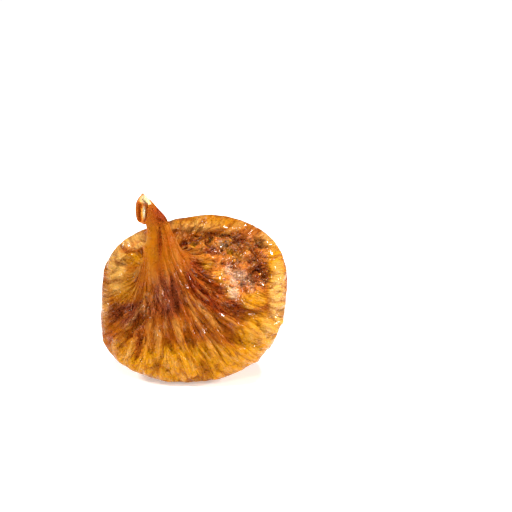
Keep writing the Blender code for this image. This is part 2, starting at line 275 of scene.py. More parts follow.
def frontSkin(angle, share):  # the broad front face, from the neck's root out to the rim
    form, turn = figForm, angle / (2 * math.pi)
    grow = np.sin(share * math.pi / 2)
    radius = closedCurve(form["rimRadii"], turn)
    across = form["neckRoot"][0] * (1 - grow) + radius * grow * np.cos(angle)
    up = form["neckRoot"][1] * (1 - grow) + radius * grow * np.sin(angle)
    reach = closedCurve(form["rimRadii"], np.arctan2(up, across) / (2 * math.pi))
    fromMiddle = np.minimum(np.hypot(across, up) / reach, 1.0)
    bulge = closedCurve(form["frontBulge"], turn) * np.sqrt(1 - fromMiddle ** form["frontFullness"])
    fromRoll = (grow - form["rollAt"]) / form["rollWidth"]
    roll = closedCurve(form["rollHeight"], turn) * np.exp(-(fromRoll**2))
    return leaning(across, up, bulge + roll * np.sqrt(np.clip(1 - grow**8, 0, 1)))


def backSkin(angle, share):  # the sagging back, from the rim round to the eye
    form, turn = figForm, angle / (2 * math.pi)
    radius = closedCurve(form["rimRadii"], turn)
    rim = leaning(radius * np.cos(angle), radius * np.sin(angle), np.zeros_like(angle))
    eye = np.asarray(form["eye"])
    keep = np.cos(share * math.pi / 2) ** closedCurve(form["backFullness"], turn)
    points = eye + (rim - eye) * keep[:, None]
    points[:, 1] = rim[:, 1] + (eye[1] - rim[:, 1]) * np.sin(share * math.pi / 2) ** form["backReach"]
    points[:, 2] -= closedCurve(form["seatSag"], turn) * np.sin(share * math.pi)
    for centre, half, deep in form["dents"]:
        away = np.hypot((points[:, 0] - centre[0]) / half[0], (points[:, 2] - centre[1]) / half[1])
        points[:, 1] -= deep * np.exp(-(away**2)) * easeStep(0.05, 0.4, share)
    return points


def smoothFig(angle, along):
    form = figForm
    neck, _ = neckSkin(angle, (along - form["cutEnd"]) / (form["flareEnd"] - form["cutEnd"]))
    cut = cutSkin(angle, np.clip(along / form["cutEnd"], 0, 1))
    faceFrom = form["flareStart"] - 0.02
    front = frontSkin(angle, np.clip((along - faceFrom) / (form["rimAt"] - faceFrom), 0, 1))
    back = backSkin(angle, np.clip((along - form["rimAt"]) / (1 - form["rimAt"]), 0, 1))
    flare = easeStep(form["flareStart"], form["flareEnd"], along)[:, None]
    points = neck * (1 - flare) + front * flare
    points = np.where((along < form["cutEnd"])[:, None], cut, points)
    return np.where((along > form["rimAt"])[:, None], back, points)


def seenFromFront(points):
    return points[:, 0], points[:, 1] * math.sin(lookDown) + points[:, 2] * math.cos(lookDown)


def awayFromPath(x, height, path):  # distance to a bent line, and how far along it
    nearest, where = np.full(len(x), 1e9), np.zeros(len(x))
    for leg, (start, end) in enumerate(zip(path[:-1], path[1:])):
        dx, dh = end[0] - start[0], end[1] - start[1]
        share = np.clip(((x - start[0]) * dx + (height - start[1]) * dh) / (dx * dx + dh * dh), 0, 1)
        away = np.hypot(x - start[0] - share * dx, height - start[1] - share * dh)
        where = np.where(away < nearest, (leg + share) / (len(path) - 1), where)
        nearest = np.minimum(away, nearest)
    return nearest, where


def onFace(along, margin):
    form = figForm
    return easeStep(form["flareStart"] + 0.03, form["flareStart"] + 0.1, along) * (
        1 - easeStep(form["rimAt"] - margin, form["rimAt"], along))


def hollowReach(x, height, centre, half):  # 0 in the middle of a hollow, 1 at its wavy edge
    east, north = (x - centre[0]) / half[0], (height - centre[1]) / half[1]
    turn = np.arctan2(north, east)
    wavy = 1
    for (count, size), start in zip(figForm["edgeWaves"], (1, centre[0], 0)):
        wavy = wavy + size * np.sin(count * turn + start)
    return np.hypot(east, north) * wavy


def sinkHollows(points, along):
    x, height = seenFromFront(points)
    depth = np.zeros(len(x))
    for centre, half, deep in figForm["hollows"]:
        depth = np.maximum(depth, deep * (1 - easeStep(0.5, 1.1, hollowReach(x, height, centre, half))))
    centre, half, deep = figForm["hole"]
    depth += deep * (1 - easeStep(0, 1.1, hollowReach(x, height, centre, half)))
    sunk = points.copy()
    sunk[:, 1] += depth * onFace(along, 0.07)
    return sunk


def foldHeight(points, normals, along):
    form = figForm
    x, height = seenFromFront(points)
    facing = normals[:, 2] * math.sin(lookDown) - normals[:, 1] * math.cos(lookDown)
    shown = easeStep(0, 0.35, facing) * easeStep(form["cutEnd"], form["cutEnd"] + 0.04, along)
    shown *= 1 - easeStep(form["rimAt"] - 0.04, form["rimAt"] + 0.03, along)
    total = np.zeros(len(x))
    for path, halfWidth, tall in figFolds:
        away, where = awayFromPath(x, height, path)
        taper = easeStep(0, 0.2, where) * (1 - easeStep(0.8, 1, where)) * 0.8 + 0.2
        total += tall * taper * np.exp(-((away / halfWidth) ** 2))
    return total * shown


def ribHeight(points, angle, along):
    form = figForm
    heights = np.empty(len(angle))
    across = form["ribWaves"]
    for index, (point, turn, share) in enumerate(zip(points, angle, along)):
        turn += form["ribSway"] * noise.noise((point[0] / 9, point[1] / 9, point[2] / 9))
        spot = (across * math.cos(turn), across * math.sin(turn), form["ribStretch"] * share + 3)
        heights[index] = abs(noise.noise(spot)) * 2 - 0.4
    fade = easeStep(form["flareStart"] - 0.04, form["flareEnd"] + 0.14, along) * 0.9 + 0.1
    onRoot = 1 - easeStep(form["flareEnd"], form["flareEnd"] + 0.12, along)
    tucked = easeStep(0.2, 0.8, np.sin(angle)) * onRoot  # behind the neck, where it meets the face
    fade *= 1 - 0.8 * tucked
    fade *= 1 - 0.65 * np.exp(-(((along - form["rimAt"]) / 0.06) ** 2))
    fade *= 1 - 0.7 * insideHollow(points, along, 0.7, 1.4)
    return heights * fade * (1 - easeStep(0.95, 1.0, along)) * form["ribHeight"]


def insideHollow(points, along, inner, outer):
    x, height = seenFromFront(points)
    inside = np.zeros(len(x))
    for centre, half, _ in figForm["hollows"]:
        inside = np.maximum(inside, 1 - easeStep(inner, outer, hollowReach(x, height, centre, half)))
    return inside * onFace(along, 0.07)


def crumpleHeight(points, along):
    x, height = seenFromFront(points)
    inside = insideHollow(points, along, 0.6, 1.0)
    size = figForm["crumpleSize"]
    lumps = np.zeros(len(x))
    for index in np.nonzero(inside)[0]:
        lumps[index] = abs(noise.noise((x[index] / size, height[index] / size, 7.0))) * 2.4 - 0.6
    return lumps * inside * figForm["crumpleHeight"]


def tornHeight(points, along):  # the golden groove and the torn flap of the stalk's cut end
    x, height = seenFromFront(points)
    inside = 1 - easeStep(figForm["cutEnd"] - 0.006, figForm["cutEnd"] + 0.004, along)
    total = np.zeros(len(x))
    for centre, half, tall in figForm["cutForms"]:
        away = ((x - centre[0]) / half[0]) ** 2 + ((height - centre[1]) / half[1]) ** 2
        total += tall * np.exp(-away)
    return inside * total


def eyeHeight(points, along):
    form = figForm
    away = np.hypot(points[:, 0] - form["eye"][0], points[:, 2] - form["eye"][2])
    ring = form["eyeLip"][1] * np.exp(-(((away - form["eyeLip"][0]) / form["eyeLip"][2]) ** 2))
    pit = form["eyePit"][1] * np.exp(-((away / form["eyePit"][0]) ** 2))
    return np.where(along > form["rimAt"] + 0.1, ring - pit, 0)


def placeVertices(mesh, points):  # moves the points and gives the new normals
    mesh.vertices.foreach_set("co", points.astype(np.float32).ravel())
    mesh.update()
    normals = np.empty(len(points) * 3, np.float32)
    mesh.vertex_normals.foreach_get("vector", normals)
    return normals.reshape(-1, 3).astype(float)


def closedGrid(around, rows):  # a ball's mesh: rings between two end points, with each point's turn and row
    turn = np.tile(np.arange(around) / around * 2 * math.pi, rows - 1)
    row = np.repeat(np.arange(1, rows) / rows, around)
    first = 1 + np.arange(around)
    following = 1 + (np.arange(around) + 1) % around
    faces = [(0, a, b) for a, b in zip(first, following)]
    for ring in range(rows - 2):
        step = ring * around
        faces += zip(first + step, first + step + around, following + step + around, following + step)
    last = around * (rows - 2)
    faces += [(1 + around * (rows - 1), b, a) for a, b in zip(first + last, following + last)]
    mesh = bpy.data.meshes.new("figSkin")
    faces = [tuple(int(corner) for corner in face) for face in faces]
    mesh.from_pydata(np.zeros((around * (rows - 1) + 2, 3)), [], faces)
    return mesh, np.concatenate([[0], turn, [0]]), np.concatenate([[0], row, [1]])


# Patches of colour on the front, as the photo sees them: centre (x, height), half sizes, strength

figPatches = {
    "plum": (
        ((-6.4, 21.5), (4.2, 5.6), 1.0), ((-16.6, 16.4), (5.0, 3.2), 1.0), ((-11.5, 18.0), (3.6, 2.6), 0.9),
        ((5.5, 13.0), (5.0, 1.6), 0.3), ((9.5, 15.6), (5.5, 1.2), 0.3), ((-14.2, 10.0), (1.2, 5.0), 0.6),
        ((-7.2, 42.0), (1.6, 1.4), 0.7), ((5.2, 33.4), (3.0, 1.4), 0.9), ((11.9, 36.0), (2.4, 1.4), 0.8),
        ((18.0, 27.4), (2.2, 3.4), 0.6),
    ),
    "rust": (
        ((0.8, 26.5), (2.6, 5.0), 1.0), ((4.6, 22.0), (4.2, 3.6), 1.0), ((9.0, 18.4), (5.0, 2.2), 1.0),
        ((-8.5, 35.2), (0.5, 4.4), 1.0), ((-8.0, 43.0), (2.6, 3.0), 0.7), ((-2.15, 34.95), (0.9, 0.7), 1.0),
        ((17.6, 34.7), (2.2, 1.8), 0.4), ((16.4, 28.5), (3.0, 5.0), 0.5), ((11.0, 30.2), (2.2, 1.6), 0.5),
    ),
    "pale": (
        # pale is partly the skin's own tone and partly painted light where the shoulder, the top and the
        # right rim are lit
        ((-20.5, 29.0), (3.0, 7.0), 0.9), ((-17.5, 36.0), (6.0, 2.4), 1.0), ((1.0, 39.6), (7.0, 1.8), 0.6),
        ((22.6, 21.0), (2.4, 9.0), 1.0), ((-23.5, 19.0), (1.6, 8.0), 0.5), ((19.6, 36.0), (4.0, 2.6), 0.6),
        ((10.2, 23.4), (2.0, 3.0), 0.6), ((8.6, 26.0), (1.0, 3.0), 0.6), ((20.4, 12.0), (3.0, 4.0), 0.6),
    ),
    "bright": (
        ((3.2, 32.0), (3.2, 2.0), 1.0), ((6.4, 27.6), (1.4, 2.8), 0.6), ((4.0, 35.6), (4.0, 1.2), 0.6),
    ),
    "gold": (
        # the wide gold patch along the bottom is partly the skin's colour and partly painted light, the
        # floor's bounce and light through the skin
        ((0.0, 2.0), (26.0, 6.6), 1.1), ((-16.0, 5.0), (8.0, 6.0), 0.6), ((19.0, 10.0), (8.0, 7.0), 1.0),
        ((-11.0, 34.0), (2.2, 7.0), 0.35), ((-16.8, 31.0), (4.0, 2.0), 0.8), ((16.5, 20.5), (4.0, 2.6), 0.8),
        ((5.0, 41.2), (13.0, 2.6), 0.5), ((9.8, 33.1), (1.0, 1.0), 1.0), ((22.0, 28.0), (2.6, 12.0), 0.9),
        ((-19.0, 24.0), (4.0, 6.0), 0.6), ((0.0, 34.8), (1.0, 0.8), 1.0), ((3.6, 30.0), (2.0, 2.2), 0.8),
        ((7.2, 26.4), (1.6, 2.6), 0.8), ((10.4, 22.4), (1.8, 2.2), 0.8), ((14.4, 18.8), (3.0, 1.2), 0.8),
        ((8.5, 35.0), (3.0, 1.6), 0.5), ((11.5, 31.6), (2.2, 2.0), 0.6),
    ),
    "silver": (
        # silver is partly the mound's pale skin and partly a painted highlight, a whitish sheen
        ((12.5, 26.0), (2.6, 2.4), 1.0), ((9.4, 28.4), (1.0, 2.0), 0.7), ((10.8, 22.4), (1.6, 2.0), 0.8),
        ((8.0, 35.0), (1.6, 1.2), 0.6), ((15.5, 24.0), (1.0, 2.4), 0.5),
    ),
    "cream": (
        ((-12.6, 43.3), (0.36, 1.5), 1.0), ((-12.2, 46.8), (1.2, 1.1), 1.0),
    ),
    "torn": (
        ((-12.2, 46.8), (1.2, 1.1), 1.0), ((-11.2, 45.7), (0.7, 0.5), 0.8),
    ),
    "glow": (
        ((-13.2, 43.0), (0.35, 2.4), 1.0), ((-13.3, 46.6), (0.6, 1.2), 1.0),
    ),
}


def patchShare(points, facing, patches):
    x, height = seenFromFront(points)
    share = np.zeros(len(x))
    for centre, half, strength in patches:
        away = np.hypot((x - centre[0]) / half[0], (height - centre[1]) / half[1])
        share = np.maximum(share, strength * (1 - easeStep(0.35, 1.5, away)))
    return share * facing


def figBase():
    form = figForm
    mesh, angle, row = closedGrid(form["around"], form["along"])
    places = (0, form["cutEnd"], form["flareEnd"] - 0.04, form["rimAt"], 1)
    along = np.interp(row, form["rowShares"], places)
    points = sinkHollows(smoothFig(angle, along), along)
    normals = placeVertices(mesh, points)
    turnedAway = np.abs(normals[:, 2] * math.sin(lookDown) - normals[:, 1] * math.cos(lookDown))
    edge = 1 - easeStep(0.0, form["edgeWidth"], turnedAway)
    folds = foldHeight(points, normals, along)
    ribs = ribHeight(points, angle, along) * (1 - form["edgeFade"] * edge)
    height = folds + ribs + crumpleHeight(points, along)
    height = height + eyeHeight(points, along) + tornHeight(points, along)
    facing = 1 - easeStep(form["rimAt"], form["rimAt"] + 0.2, along)
    finished = points + normals * height[:, None]
    marks = {name: patchShare(finished, facing, patches) for name, patches in figPatches.items()}
    marks["hollow"] = insideHollow(points, along, 0.65, 1.05)
    marks["neck"] = 1 - easeStep(form["flareStart"] + 0.04, form["flareEnd"] - 0.04, along)
    marks["cut"] = 1 - easeStep(form["cutEnd"] - 0.004, form["cutEnd"] + 0.004, along)
    # the folds' heights, also the mask of the painted glow in their creases
    marks["folds"] = folds
    marks["rim"] = np.exp(-(((along - form["rimAt"] + 0.04) / 0.08) ** 2))
    marks["edge"] = edge
    fromEye = np.hypot(points[:, 0] - form["eye"][0], points[:, 2] - form["eye"][2])
    marks["eye"] = np.exp(-((fromEye / form["eyeDark"]) ** 2)) * (along > form["rimAt"] + 0.1)
    grid = finished[1:-1].reshape(form["along"] - 1, form["around"], 3)
    fourColumns = np.linalg.norm(np.roll(grid, -2, axis=1) - np.roll(grid, 2, axis=1), axis=2)
    girth = fourColumns * form["around"] / (8 * math.pi)
    girth = np.concatenate([[0.5], girth.ravel(), [0.5]])
    marks["girth"] = girth * mm  # length round the fruit, to the radian
    steps = np.linalg.norm(np.diff(grid, axis=0, prepend=grid[:1]), axis=2)
    fromStalk = np.cumsum(steps, axis=0) * mm
    fromStalk = np.concatenate([[0], fromStalk.ravel(), [fromStalk[-1].mean()]])
    finished[:, :2] += centreShift
    low = np.clip(finished[:, 2], -form["floorFillet"], form["floorFillet"]) + form["floorFillet"]
    soft = form["floorFillet"] * (low / (2 * form["floorFillet"])) ** 2
    finished[:, 2] = np.where(finished[:, 2] < form["floorFillet"], soft, finished[:, 2])
    placeVertices(mesh, finished * mm)
    mesh.shade_smooth()
    for name, values in marks.items():
        mesh.attributes.new(name, "FLOAT", "POINT").data.foreach_set("value", values.astype(np.float32))
    ribPlace = np.stack([np.cos(angle), np.sin(angle), fromStalk], axis=1).astype(np.float32)
    mesh.attributes.new("ribPlace", "FLOAT_VECTOR", "POINT").data.foreach_set("vector", ribPlace.ravel())
    return mesh


# Fine relief of the skin, as a Geometry Nodes tree on top of the form

skinRelief = {
    "inputs": {  # sizes and heights in metres, then two shares
        "Rib Spacing": 0.0022, "Rib Height": 0.00115,
        "Fine Rib Spacing": 0.0013, "Fine Rib Height": 0.00125,
        "Bead Spacing": 0.0016, "Bead Height": 0.0013,
        "Pucker Size": 0.0016, "Pucker Height": 0.00035,
        "Hollow Size": 0.0018, "Hollow Height": 0.0013,
        "Thread Size": 0.0009, "Thread Height": 0.0007,
        "Torn Size": 0.0013, "Torn Height": 0.0006, "Neck Share": 0.10, "Edge Fade": 0.75,
    },
    "puffWidth": 0.65, "firstCount": 1.4, "levels": 7, "apart": 7.3, "gain": 1.25, "bottom": -0.07,
    "wander": 120.0, "bend": (0.1, 0.1, 0.006),  # how the ribs sway, noise to the metre
    "ribLength": 4.0, "beadLength": 9.0,  # in widths
    "inHollow": 0.8, "onRim": 0.8, "fineOnRim": 0.55,  # how much of the ribs is lost there
    "worn": (1.1, 0.8),  # wrinkles stand out more on plum and rust skin
    "beadsFrom": (0.1, 0.6), "strengths": 150.0, "strengthRange": (0.35, 0.65, 0.35, 1.0),
    "swirl": 300.0, "swirlReach": 1.8,
    "middle": 0.25, "hollowMiddle": 0.3,  # noise value that leaves the skin where it was
}


def ribLevelsTree():  # ribs that keep their width all along the fruit, because they join where it narrows
    ins = [("Place", "NodeSocketVector", None), ("Girth", "NodeSocketFloat", 0.02),
           ("Spacing", "NodeSocketFloat", 0.002), ("Length", "NodeSocketFloat", 4.0)]
    tree, given, out = newTree("ribLevels", "GeometryNodeTree", ins, [("Puff", "NodeSocketFloat")])
    layout, width = skinRelief, skinRelief["puffWidth"]
    wanted = sums(tree, "DIVIDE", sums(tree, "MULTIPLY", given["Girth"], width), given["Spacing"])
    level = sums(tree, "LOGARITHM", sums(tree, "MAXIMUM", wanted, 0.5), 2.0)
    lengthwise = sums(tree, "DIVIDE", sums(tree, "DIVIDE", width, given["Spacing"]), given["Length"])
    total = 0.0
    for octave in range(layout["levels"]):
        count = layout["firstCount"] * 2**octave
        size = add(tree, "ShaderNodeCombineXYZ", {0: count, 1: count, 2: lengthwise}).outputs[0]
        spot = vectors(tree, "MULTIPLY", given["Place"], size)
        spot = vectors(tree, "ADD", spot, (octave * layout["apart"], 0.0, 0.0))
        off = sums(tree, "ABSOLUTE", sums(tree, "SUBTRACT", level, math.log2(count)))
        share = sums(tree, "MAXIMUM", sums(tree, "SUBTRACT", 1.0, off), 0.0)
        total = sums(tree, "MULTIPLY_ADD", puffs(tree, spot, 0.3), share, total)
    total = sums(tree, "MULTIPLY_ADD", total, layout["gain"], layout["bottom"])
    feed(tree, out[0], sums(tree, "MAXIMUM", total, 0.0))
    return tree


def reliefTree(material):
    ins = [("Geometry", "NodeSocketGeometry", None)]
    ins += [(name, "NodeSocketFloat", value) for name, value in skinRelief["inputs"].items()]
    tree, given, out = newTree("skinRelief", "GeometryNodeTree", ins, [("Geometry", "NodeSocketGeometry")])
    tree.is_modifier = True
    levels, layout = ribLevelsTree(), skinRelief

    def less(value, share=1.0):
        return sums(tree, "SUBTRACT", 1.0, sums(tree, "MULTIPLY", value, share))

    def sized(length):
        return scaled(tree, place, sums(tree, "DIVIDE", 1.0, length))

    place = add(tree, "GeometryNodeInputPosition").outputs[0]
    ribPlace, girth = kept(tree, "ribPlace", "FLOAT_VECTOR"), kept(tree, "girth")
    hollow, neck, rim, cut = kept(tree, "hollow"), kept(tree, "neck"), kept(tree, "rim"), kept(tree, "cut")
    wander = cloud(tree, scaled(tree, place, layout["wander"]), 1.0, 1.0).outputs[1]
    wander = vectors(tree, "SUBTRACT", wander, (0.5, 0.5, 0.5))
    bent = vectors(tree, "ADD", ribPlace, vectors(tree, "MULTIPLY", wander, layout["bend"]))

    def ribs(spacing, length):
        group = add(tree, "GeometryNodeGroup", node_tree=levels)
        for name, value in (("Place", bent), ("Girth", girth), ("Spacing", spacing), ("Length", length)):
            feed(tree, group.inputs[name], value)
        return group.outputs[0]

    body = less(neck, sums(tree, "SUBTRACT", 1.0, given["Neck Share"]))
    outside = less(hollow, layout["inHollow"])
    skin = times(tree, body, outside, less(rim, layout["onRim"]))
    toTheRight = add(tree, "ShaderNodeSeparateXYZ", {0: ribPlace}).outputs[0]
    worn = sums(tree, "ADD", kept(tree, "plum"), kept(tree, "rust"))
    worn = sums(tree, "MULTIPLY_ADD", worn, *layout["worn"])
    wrinkled = times(tree, body, worn, outside, less(rim, layout["fineOnRim"]))
    beaded = times(tree, rim, ease(tree, toTheRight, *layout["beadsFrom"]), less(hollow))
    strong = cloud(tree, scaled(tree, place, layout["strengths"]), 1.0, 1.0).outputs[0]
    strong = ease(tree, strong, *layout["strengthRange"])
    coarse = ribs(given["Rib Spacing"], layout["ribLength"])
    fine = ribs(given["Fine Rib Spacing"], layout["ribLength"])
    beads = ribs(given["Bead Spacing"], layout["beadLength"])
    pucker = puffs(tree, sized(given["Pucker Size"]), 1.0)
    swirl = cloud(tree, scaled(tree, place, layout["swirl"]), 1.0, 0.0).outputs[1]
    swirl = scaled(tree, swirl, layout["swirlReach"])
    crumple = puffs(tree, vectors(tree, "ADD", sized(given["Hollow Size"]), swirl), 1.0)
    thread = puffs(tree, vectors(tree, "ADD", sized(given["Thread Size"]), swirl), 0.0)
    height, middle, hollowMiddle = 0.0, layout["middle"], layout["hollowMiddle"]
    for value, level, tall, where in (
            (coarse, middle, "Rib Height", times(tree, skin, strong)),
            (fine, middle, "Fine Rib Height", wrinkled),
            (beads, middle, "Bead Height", beaded),
            (pucker, middle, "Pucker Height", wrinkled),
            (crumple, hollowMiddle, "Hollow Height", hollow),
            (thread, hollowMiddle, "Thread Height", hollow)):
        raised = times(tree, sums(tree, "SUBTRACT", value, level), given[tall], where)
        height = sums(tree, "ADD", height, raised)
    torn = sums(tree, "SUBTRACT", puffs(tree, sized(given["Torn Size"]), 1.0), middle)
    torn = times(tree, torn, given["Torn Height"], kept(tree, "torn"))
    smoother = less(times(tree, kept(tree, "edge"), less(neck)), given["Edge Fade"])
    height = sums(tree, "ADD", times(tree, height, less(cut), smoother), torn)
    # the crease and fine rib values are kept on the mesh, also as masks for painted crease shade and painted
    # ridge highlights
    crease = sums(tree, "ADD", times(tree, coarse, less(beaded)), times(tree, beads, beaded))
    crease = sums(tree, "ADD", times(tree, crease, less(hollow)), times(tree, crumple, hollow))
    offset = scaled(tree, add(tree, "GeometryNodeInputNormal").outputs[0], height)
    finished = {"Geometry": given["Geometry"], "Offset": offset}
    finished = add(tree, "GeometryNodeSetPosition", finished).outputs[0]
    for name, value in (("puff", crease), ("finePuff", fine)):
        finished = add(tree, "GeometryNodeStoreNamedAttribute",
                       {"Geometry": finished, "Name": name, "Value": value},
                       data_type="FLOAT", domain="POINT").outputs[0]
    place = add(tree, "GeometryNodeInputPosition").outputs[0]
    aboveFloor = vectors(tree, "MAXIMUM", place, (-1.0, -1.0, 0.0))
    finished = add(tree, "GeometryNodeSetPosition", {"Geometry": finished, "Position": aboveFloor}).outputs[0]
    closeTree(tree, out, finished, material)
    return tree


def baked(name, mesh, tree, values):  # runs a tree on a mesh and keeps the result as a plain mesh
    carrier = bpy.data.objects.new(name, mesh)
    bpy.context.scene.collection.objects.link(carrier)
    modifier = carrier.modifiers.new(tree.name, "NODES")
    modifier.node_group = tree
    for label, value in values.items():
        modifier[tree.interface.items_tree[label].identifier] = value
    bpy.context.view_layer.update()
    graph = bpy.context.evaluated_depsgraph_get()
    shaped = carrier.evaluated_get(graph)
    plain = bpy.data.meshes.new_from_object(shaped, preserve_all_data_layers=True, depsgraph=graph)
    carrier.modifiers.remove(modifier)
    carrier.data = plain
    plain.name = name
    bpy.data.meshes.remove(mesh)
    return carrier


# Finishes

skinColours = {
    # gold along the bottom is partly painted bounce light from the floor
    "amber": rgb(150, 80, 3), "honey": rgb(142, 66, 3), "gold": rgb(188, 126, 4),
    # pale is partly painted light on the lit rim and shoulder, and the painted highlight on ridge tops
    "pale": rgb(198, 152, 76), "bright": rgb(222, 136, 44), "plum": rgb(138, 62, 34),
    # silver is partly a painted highlight on the hollow's pale mound
    "rust": rgb(138, 42, 3), "silver": rgb(208, 166, 134), "torn": rgb(214, 200, 150),
    # crease tints the painted shade in creases; deep is the painted glow in the folds' creases
    "eye": rgb(84, 34, 12), "crease": rgb(172, 112, 70), "deep": rgb(196, 102, 24),
    "pit": rgb(228, 134, 52), "lip": rgb(150, 74, 16), "glow": rgb(222, 140, 40),
    "cream": rgb(206, 192, 150), "tint": rgb(255, 196, 104),
}

# Noise sizes are to the metre. A range is low and high, then the values that they give.
skinFinish = {
    "surface": {
        "Specular Tint": skinColours["tint"], "Specular IOR Level": 0.22, "IOR": 1.45,
        "Coat Roughness": 0.12, "Coat IOR": 1.42,
        "Subsurface Weight": 0.3, "Subsurface Radius": (1.0, 0.5, 0.15), "Subsurface Scale": 0.0015,
    },
    "paint": {  # in the order of painting: where a patch starts, where it is full, its strength
        "gold": (0.1, 0.9, 0.9), "pale": (0.1, 1.0, 0.8), "bright": (0.1, 0.9, 0.9),
        "plum": (0.1, 0.9, 0.85), "rust": (0.1, 0.9, 0.85), "silver": (0.1, 0.9, 0.8),
        "torn": (0.2, 0.7, 1.0), "eye": (0.2, 0.9, 1.0),
    },
    "grain": {  # fine lines along the ribs, and small grains
        "lines": 950.0, "firstCount": 7.0, "levels": 4, "lengthwise": 230.0,
        "wander": 330.0, "bend": (0.035, 0.035, 0.002),
        "grains": 1400.0, "grainHeight": 0.5, "domes": 1000.0, "domeRange": (0.0, 0.5, 0.5, 0.0),
        # where the lines' painted shade and painted highlights fall
        "creases": (0.0, 0.25, 1.0, 0.0), "ridges": (0.35, 0.7),
    },
    "blotches": 190.0, "smallBlotches": 420.0, "ragged": (0.35, 0.4),  # how far they shift a patch's edge
    "ground": (0.35, 0.65), "hollowTint": 0.85,
    # painted shade: how far the crease colour darkens the rib and fine rib creases
    "creases": (0.0, 0.10, 1.0, 0.0), "creaseDark": 0.42, "creaseRim": 0.05, "creaseHollow": -0.2,
    # the folds' range paints a glow: their creases turn towards the brighter deep orange
    "fineCreases": (0.0, 0.10, 0.5, 0.0), "foldGlow": (-1.8, -0.4, 0.6, 0.0),
    # painted highlights: the pale tint on the tops of the ribs and fine ribs
    "ridges": (0.3, 0.6), "ridgePale": 0.25, "ridgeHollow": 0.3, "fineRidges": (0.25, 0.5, 0.0, 0.25),
    "wornLines": (1.2, 0.7), "neckLines": (0.1, 0.9, 1.0, 0.1), "wornNeck": 0.4,
    "wornGrains": 1.2, "hollowGrains": 1.3, "grains": (0.2, 1.0, 0.35, 0.3),
    # painted shade in the fine lines' creases, and painted highlights on their ridges
    "lineDark": 0.4, "linePale": 0.2,
    "roughness": (0.3, 0.7, 0.30, 0.5),
    "wetSpots": 600.0, "wetRange": (0.4, 0.65), "wetWorn": (0.6, 0.6), "wetRim": 0.5,
    "dryCreases": (0.0, 0.12, 0.25, 1.0), "dryFineCreases": (0.0, 0.10, 0.4, 1.0), "dryLines": -0.6,
    "dryNeck": (0.2, 1.0, 1.0, 0.2),
    "bump": 0.0014,
}


def grainTree():  # fine lines along the ribs and small grains, for the bump of skin and seeds, and masks for the lines' painted crease shade and painted ridge highlights
    form = skinFinish["grain"]
    ins = [("Rib Place", "NodeSocketVector", None), ("Place", "NodeSocketVector", None),
           ("Girth", "NodeSocketFloat", 0.02), ("Lines", "NodeSocketFloat", 1.0),
           ("Grains", "NodeSocketFloat", 1.0)]
    outs = [(label, "NodeSocketFloat") for label in ("Height", "Crease", "Ridge")]
    tree, given, out = newTree("skinGrain", "ShaderNodeTree", ins, outs)
    level = sums(tree, "LOGARITHM", sums(tree, "MULTIPLY", given["Girth"], form["lines"]), 2.0)
    lines = 0.0
    wander = cloud(tree, scaled(tree, given["Place"], form["wander"]), 1.0, 1.0).outputs[1]
    wander = vectors(tree, "SUBTRACT", wander, (0.5, 0.5, 0.5))
    bent = vectors(tree, "ADD", given["Rib Place"], vectors(tree, "MULTIPLY", wander, form["bend"]))
    for octave in range(form["levels"]):
        count = form["firstCount"] * 2**octave
        spot = vectors(tree, "MULTIPLY", bent, (count, count, form["lengthwise"]))
        off = sums(tree, "ABSOLUTE", sums(tree, "SUBTRACT", level, math.log2(count)))
        share = sums(tree, "MAXIMUM", sums(tree, "SUBTRACT", 1.0, off), 0.0)
        lines = sums(tree, "MULTIPLY_ADD", puffs(tree, spot, 1.0), share, lines)
    grain = cloud(tree, scaled(tree, given["Place"], form["grains"]), 1.0, 3.0).outputs[0]
    cells = {"Vector": given["Place"], "Scale": form["domes"]}
    cells = add(tree, "ShaderNodeTexVoronoi", cells, feature="F1").outputs["Distance"]
    domes = times(tree, ease(tree, cells, *form["domeRange"]), given["Grains"])
    height = sums(tree, "MULTIPLY_ADD", grain, times(tree, given["Grains"], form["grainHeight"]), domes)
    feed(tree, out[0], sums(tree, "MULTIPLY_ADD", lines, given["Lines"], height))
    feed(tree, out[1], times(tree, ease(tree, lines, *form["creases"]), given["Lines"]))
    feed(tree, out[2], times(tree, ease(tree, lines, *form["ridges"]), given["Lines"]))
    return tree


